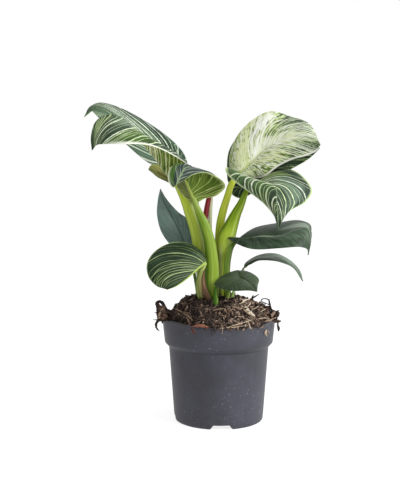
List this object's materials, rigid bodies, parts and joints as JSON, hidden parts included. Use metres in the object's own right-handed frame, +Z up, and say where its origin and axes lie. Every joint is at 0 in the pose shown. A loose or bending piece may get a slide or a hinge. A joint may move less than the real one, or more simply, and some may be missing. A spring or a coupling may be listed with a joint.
{
  "type": "potted philodendron birkin",
  "caption": "Young philodendron birkin with pinstriped oval leaves on thick green stalks, growing from heaped dark soil in a plain slate-grey plastic nursery pot",
  "frame": {"origin": "centre of the pot's foot, on the plane the pot stands on", "axes": "+Z up, -Y the plant's front, +X to the right as seen from the front"},
  "size_m": [0.2584, 0.1447, 0.3463],
  "materials": {
    "pot_plastic": "fine matte slate-grey injection-moulded plastic with a little soil dust",
    "soil_mix": "dark crumbly peat and bark mix with pale fibres",
    "leaf_striped": "smooth semi-gloss dark green leaf with fine pale stripes along the side veins",
    "leaf_plain": "smooth semi-gloss plain dark green leaf with a paler midrib",
    "leaf_cream": "smooth semi-gloss cream leaf with green flecks along the side veins",
    "stalk_green": "smooth fleshy green stalk with a faint lengthwise grain",
    "sheath_red": "smooth thin dark red sheath",
    "dry_tissue": "dry papery pink-brown plant tissue"
  },
  "bodies": {
    "root": {"pot": "pot_plastic", "soil": "soil_mix", "rootstock": "dry_tissue", "blade_far_left": "leaf_striped", "blade_upper_left": "leaf_striped", "blade_arched": "leaf_striped", "blade_olive": "leaf_plain", "blade_cream": "leaf_cream", "blade_behind_cream": "leaf_striped", "blade_drooping": "leaf_striped", "blade_plain_right": "leaf_plain", "blade_narrow": "leaf_plain", "blade_low_front": "leaf_plain", "blade_plain_left": "leaf_plain", "blade_lower_left": "leaf_striped", "blade_underside": "leaf_striped", "stalk_far_left": "stalk_green", "stalk_upper_left": "stalk_green", "stalk_arched": "stalk_green", "stalk_olive": "stalk_green", "stalk_cream": "stalk_green", "stalk_behind_cream": "stalk_green", "stalk_drooping": "stalk_green", "stalk_plain_right": "stalk_green", "stalk_narrow": "stalk_green", "stalk_low_front": "stalk_green", "stalk_plain_left": "stalk_green", "stalk_lower_left": "stalk_green", "stalk_underside": "stalk_green", "red_sheath": "sheath_red", "new_leaf": "leaf_cream", "dry_sheath": "dry_tissue", "bud": "stalk_green"}
  },
  "joints": []
}
